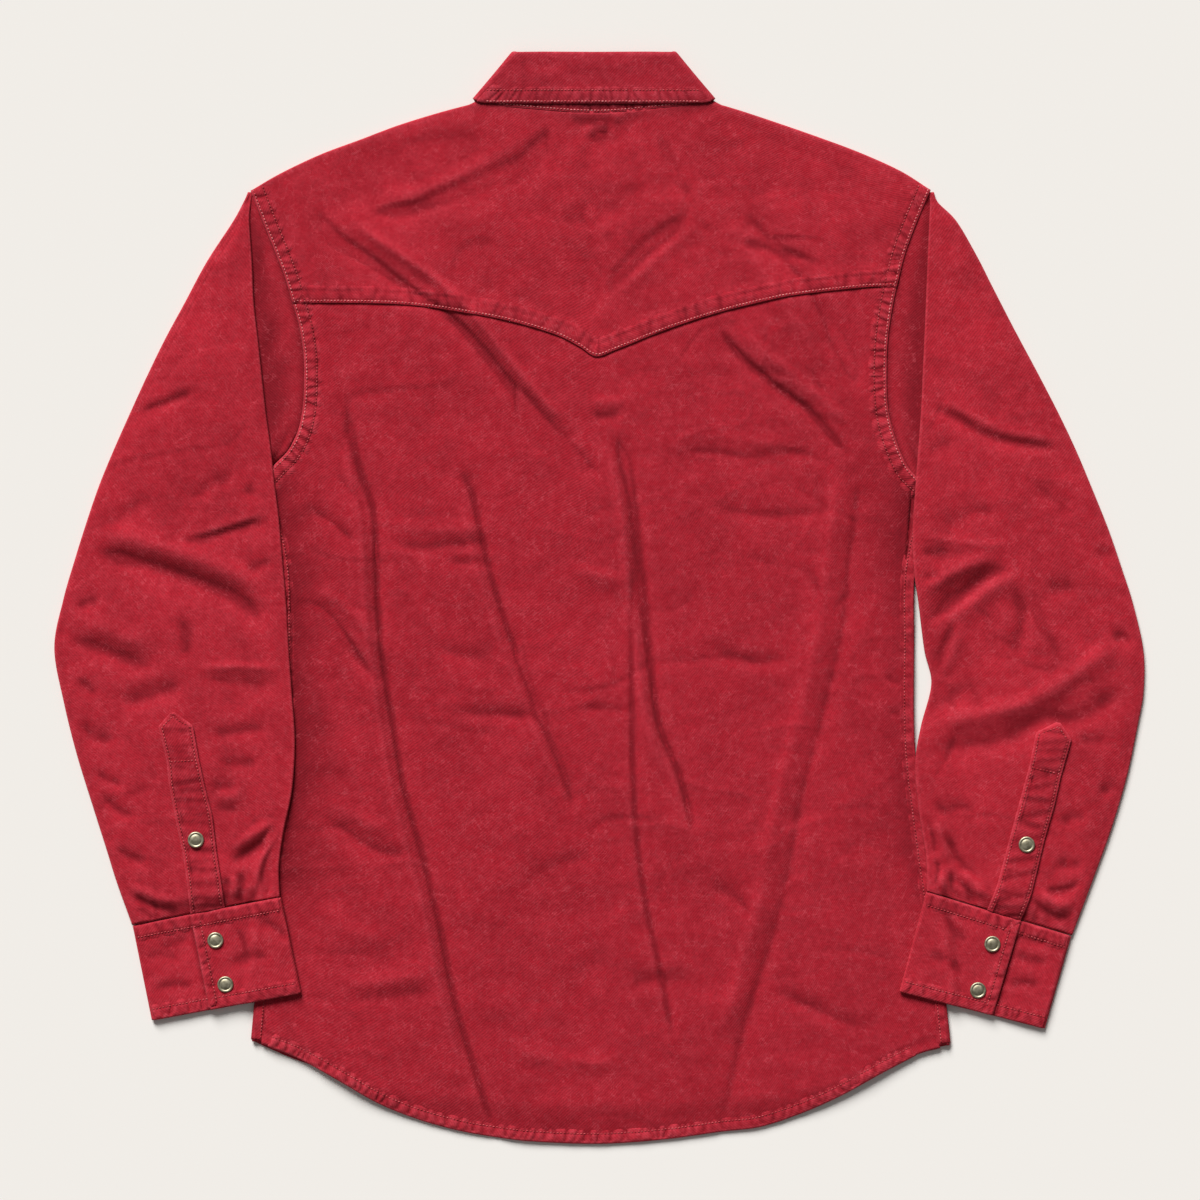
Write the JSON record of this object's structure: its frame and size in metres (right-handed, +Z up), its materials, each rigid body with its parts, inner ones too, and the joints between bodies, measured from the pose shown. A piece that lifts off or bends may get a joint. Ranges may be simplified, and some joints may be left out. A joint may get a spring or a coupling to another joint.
{
  "type": "western snap shirt",
  "caption": "Long-sleeved western shirt with pointed yoke, turned-down collar, sleeve plackets, snap cuffs and curved hem, laid flat with its back up.",
  "frame": {"origin": "middle of the shirt's footprint, on the surface it lies on", "axes": "+Z up from the surface and out of the shirt's back, +Y from the hem to the collar, +X to the right of a viewer who looks down on the back"},
  "size_m": [0.8058, 0.808, 0.0083],
  "materials": {
    "red_cotton": "matt garment-dyed cotton canvas",
    "red_cotton_collar": "matt garment-dyed cotton canvas, stiffened",
    "snap_brass": "aged, half gloss"
  },
  "bodies": {
    "root": {"back": "red_cotton", "yoke": "red_cotton", "front_left": "red_cotton", "front_right": "red_cotton", "front_placket": "red_cotton", "front_snap_1": "snap_brass", "front_snap_2": "snap_brass", "front_snap_3": "snap_brass", "front_snap_4": "snap_brass", "front_snap_5": "snap_brass", "front_snap_6": "snap_brass", "front_snap_7": "snap_brass", "collar_stand": "red_cotton_collar", "collar_fall": "red_cotton_collar", "sleeve_left": "red_cotton", "sleeve_right": "red_cotton", "sleeve_placket_left": "red_cotton", "sleeve_placket_right": "red_cotton", "cuff_left": "red_cotton", "cuff_right": "red_cotton", "snap_placket_left": "snap_brass", "snap_placket_right": "snap_brass", "snap_cuff_left_upper": "snap_brass", "snap_cuff_left_lower": "snap_brass", "snap_cuff_right_upper": "snap_brass", "snap_cuff_right_lower": "snap_brass"}
  },
  "joints": []
}
